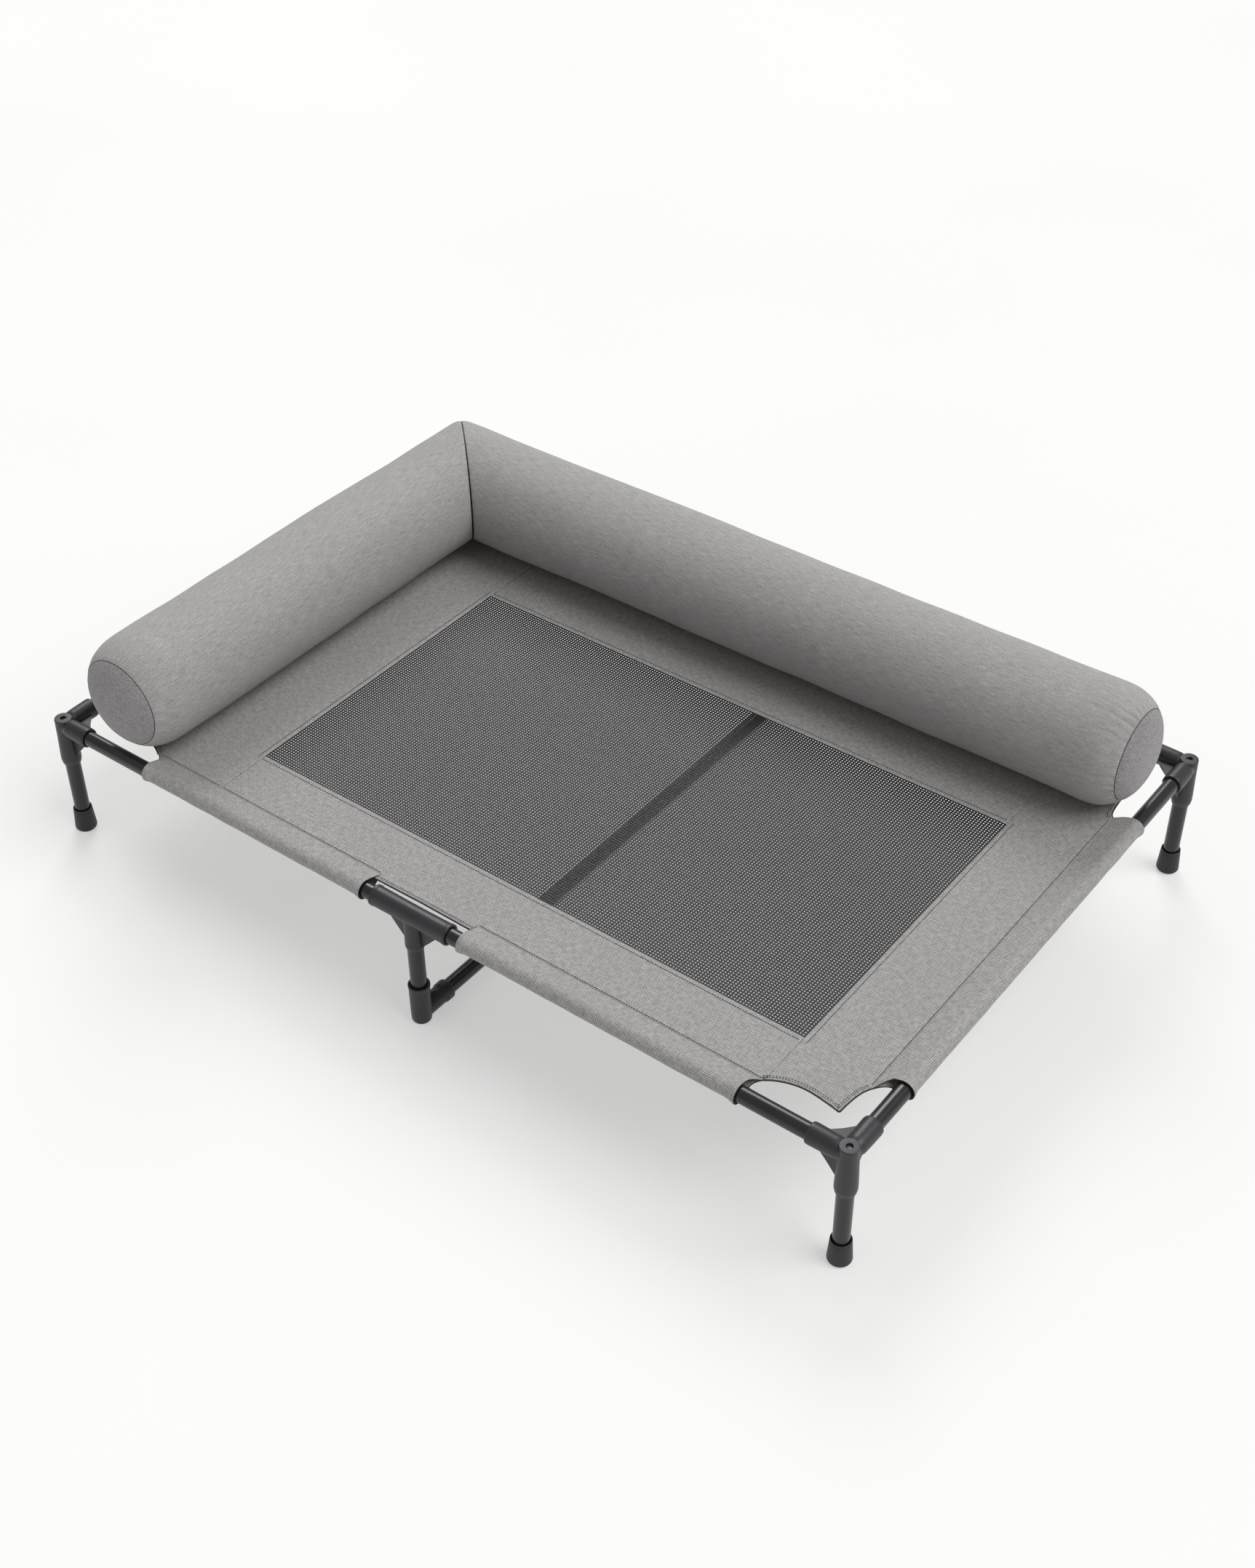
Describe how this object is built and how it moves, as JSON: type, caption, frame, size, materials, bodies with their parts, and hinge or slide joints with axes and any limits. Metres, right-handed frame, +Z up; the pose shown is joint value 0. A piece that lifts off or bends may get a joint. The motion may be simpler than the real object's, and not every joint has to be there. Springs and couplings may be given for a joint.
{
  "type": "dog bed with frame",
  "caption": "Raised rectangular dog bed: tube frame on short legs, sling mat with an open-mesh centre, and a lift-off L-shaped bolster along one end and the back.",
  "frame": {"origin": "on the floor, midway between the four corner posts, which is the bottom centre of the overall box", "axes": "+X along the long rails from the bolster's end towards the open end, +Y from the open front towards the bolster's side, +Z up"},
  "size_m": [1.5356, 1.0236, 0.4178],
  "materials": {
    "tube_paint": "satin",
    "moulded_plastic": "satin",
    "foot_rubber": "matte",
    "screw_steel": "satin",
    "woven_textile": "matte",
    "open_mesh": "matte",
    "bolster_fabric": "matte",
    "foam": "matte",
    "hook_strip": "matte"
  },
  "bodies": {
    "frame_and_mat": {"front_left_connector": "moulded_plastic", "front_left_screw": "screw_steel", "front_left_leg_plug": "moulded_plastic", "front_left_leg": "tube_paint", "front_left_foot": "foot_rubber", "front_right_connector": "moulded_plastic", "front_right_screw": "screw_steel", "front_right_leg_plug": "moulded_plastic", "front_right_leg": "tube_paint", "front_right_foot": "foot_rubber", "back_right_connector": "moulded_plastic", "back_right_screw": "screw_steel", "back_right_leg_plug": "moulded_plastic", "back_right_leg": "tube_paint", "back_right_foot": "foot_rubber", "back_left_connector": "moulded_plastic", "back_left_screw": "screw_steel", "back_left_leg_plug": "moulded_plastic", "back_left_leg": "tube_paint", "back_left_foot": "foot_rubber", "front_middle_tee": "moulded_plastic", "front_middle_leg": "tube_paint", "front_middle_foot": "moulded_plastic", "back_middle_tee": "moulded_plastic", "back_middle_leg": "tube_paint", "back_middle_foot": "moulded_plastic", "floor_brace": "tube_paint", "front_left_rail": "tube_paint", "front_right_rail": "tube_paint", "back_left_rail": "tube_paint", "back_right_rail": "tube_paint", "left_end_rail": "tube_paint", "right_end_rail": "tube_paint", "front_left_sleeve": "woven_textile", "front_right_sleeve": "woven_textile", "back_left_sleeve": "woven_textile", "back_right_sleeve": "woven_textile", "left_end_sleeve": "woven_textile", "right_end_sleeve": "woven_textile", "left_mat_panel": "woven_textile", "right_mat_panel": "woven_textile", "front_mat_panel": "woven_textile", "back_mat_panel": "woven_textile", "centre_mesh": "open_mesh", "left_hook_strip": "hook_strip", "back_hook_strip": "hook_strip"},
    "bolster": {"left_bolster_cover": "bolster_fabric", "left_bolster_end_cap": "bolster_fabric", "left_bolster_core": "foam", "left_bolster_loop_strip": "hook_strip", "back_bolster_cover": "bolster_fabric", "back_bolster_end_cap": "bolster_fabric", "back_bolster_core": "foam", "back_bolster_loop_strip": "hook_strip"}
  },
  "joints": [
    {"name": "bolster_lift", "type": "slide", "parent": "frame_and_mat", "child": "bolster", "axis": [0, 0, 1], "range_m": [0, 0.3]}
  ]
}
